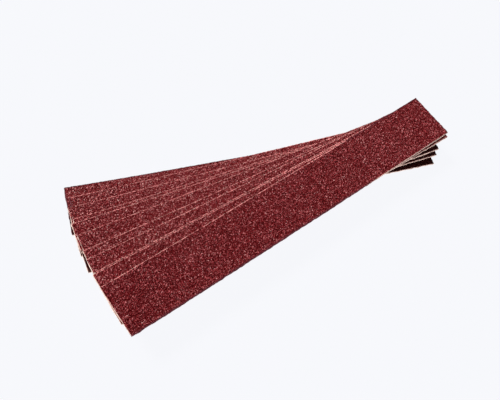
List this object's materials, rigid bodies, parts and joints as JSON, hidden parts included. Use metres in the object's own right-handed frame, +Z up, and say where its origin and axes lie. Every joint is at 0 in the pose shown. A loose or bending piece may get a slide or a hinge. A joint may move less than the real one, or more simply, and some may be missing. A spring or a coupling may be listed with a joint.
{
  "type": "sanding strip fan",
  "caption": "Fan of loose cloth-backed abrasive strips for a sanding stick, stacked grain side up and swivelled about a common point near one end.",
  "frame": {"origin": "middle of the fan's outline, on the surface it lies on", "axes": "+X along the top strip, from the open end of the fan to its swivel end; +Y across it towards the fanned strips; +Z up, out of the grain side"},
  "size_m": [0.1534, 0.071, 0.0144],
  "materials": {
    "backing_cloth": "matte woven cotton",
    "make_resin": "cured resin",
    "abrasive_grain": "coarse resin-coated aluminium oxide grain"
  },
  "bodies": {
    "strip_01": {"cloth_backing_01": "backing_cloth", "make_coat_01": "make_resin", "grain_coat_01": "abrasive_grain"},
    "strip_02": {"cloth_backing_02": "backing_cloth", "make_coat_02": "make_resin", "grain_coat_02": "abrasive_grain"},
    "strip_03": {"cloth_backing_03": "backing_cloth", "make_coat_03": "make_resin", "grain_coat_03": "abrasive_grain"},
    "strip_04": {"cloth_backing_04": "backing_cloth", "make_coat_04": "make_resin", "grain_coat_04": "abrasive_grain"},
    "strip_05": {"cloth_backing_05": "backing_cloth", "make_coat_05": "make_resin", "grain_coat_05": "abrasive_grain"},
    "strip_06": {"cloth_backing_06": "backing_cloth", "make_coat_06": "make_resin", "grain_coat_06": "abrasive_grain"},
    "strip_07": {"cloth_backing_07": "backing_cloth", "make_coat_07": "make_resin", "grain_coat_07": "abrasive_grain"},
    "strip_08": {"cloth_backing_08": "backing_cloth", "make_coat_08": "make_resin", "grain_coat_08": "abrasive_grain"},
    "strip_09": {"cloth_backing_09": "backing_cloth", "make_coat_09": "make_resin", "grain_coat_09": "abrasive_grain"},
    "strip_10": {"cloth_backing_10": "backing_cloth", "make_coat_10": "make_resin", "grain_coat_10": "abrasive_grain"},
    "strip_11": {"cloth_backing_11": "backing_cloth", "make_coat_11": "make_resin", "grain_coat_11": "abrasive_grain"}
  },
  "joints": [
    {"name": "swivel_01", "type": "hinge", "parent": "strip_02", "child": "strip_01", "pos_m": [0.06273, -0.01745, 0.0125], "axis": [0, 0, 1], "range_deg": [-2.6, 3.4]},
    {"name": "swivel_02", "type": "hinge", "parent": "strip_03", "child": "strip_02", "pos_m": [0.06273, -0.01745, 0.01125], "axis": [0, 0, 1], "range_deg": [0, 6]},
    {"name": "swivel_03", "type": "hinge", "parent": "strip_04", "child": "strip_03", "pos_m": [0.06273, -0.01745, 0.01], "axis": [0, 0, 1], "range_deg": [-2.1, 3.9]},
    {"name": "swivel_04", "type": "hinge", "parent": "strip_05", "child": "strip_04", "pos_m": [0.06273, -0.01745, 0.00875], "axis": [0, 0, 1], "range_deg": [-1.6, 4.4]},
    {"name": "swivel_05", "type": "hinge", "parent": "strip_06", "child": "strip_05", "pos_m": [0.06273, -0.01745, 0.0075], "axis": [0, 0, 1], "range_deg": [-2.8, 3.2]},
    {"name": "swivel_06", "type": "hinge", "parent": "strip_07", "child": "strip_06", "pos_m": [0.06273, -0.01745, 0.00625], "axis": [0, 0, 1], "range_deg": [-3, 3]},
    {"name": "swivel_07", "type": "hinge", "parent": "strip_08", "child": "strip_07", "pos_m": [0.06273, -0.01745, 0.005], "axis": [0, 0, 1], "range_deg": [-0.7, 5.3]},
    {"name": "swivel_08", "type": "hinge", "parent": "strip_09", "child": "strip_08", "pos_m": [0.06273, -0.01745, 0.00375], "axis": [0, 0, 1], "range_deg": [-2.8, 3.2]},
    {"name": "swivel_09", "type": "hinge", "parent": "strip_10", "child": "strip_09", "pos_m": [0.06273, -0.01745, 0.0025], "axis": [0, 0, 1], "range_deg": [-1.2, 4.8]},
    {"name": "swivel_10", "type": "hinge", "parent": "strip_11", "child": "strip_10", "pos_m": [0.06273, -0.01745, 0.00125], "axis": [0, 0, 1], "range_deg": [-3.6, 2.4]}
  ]
}
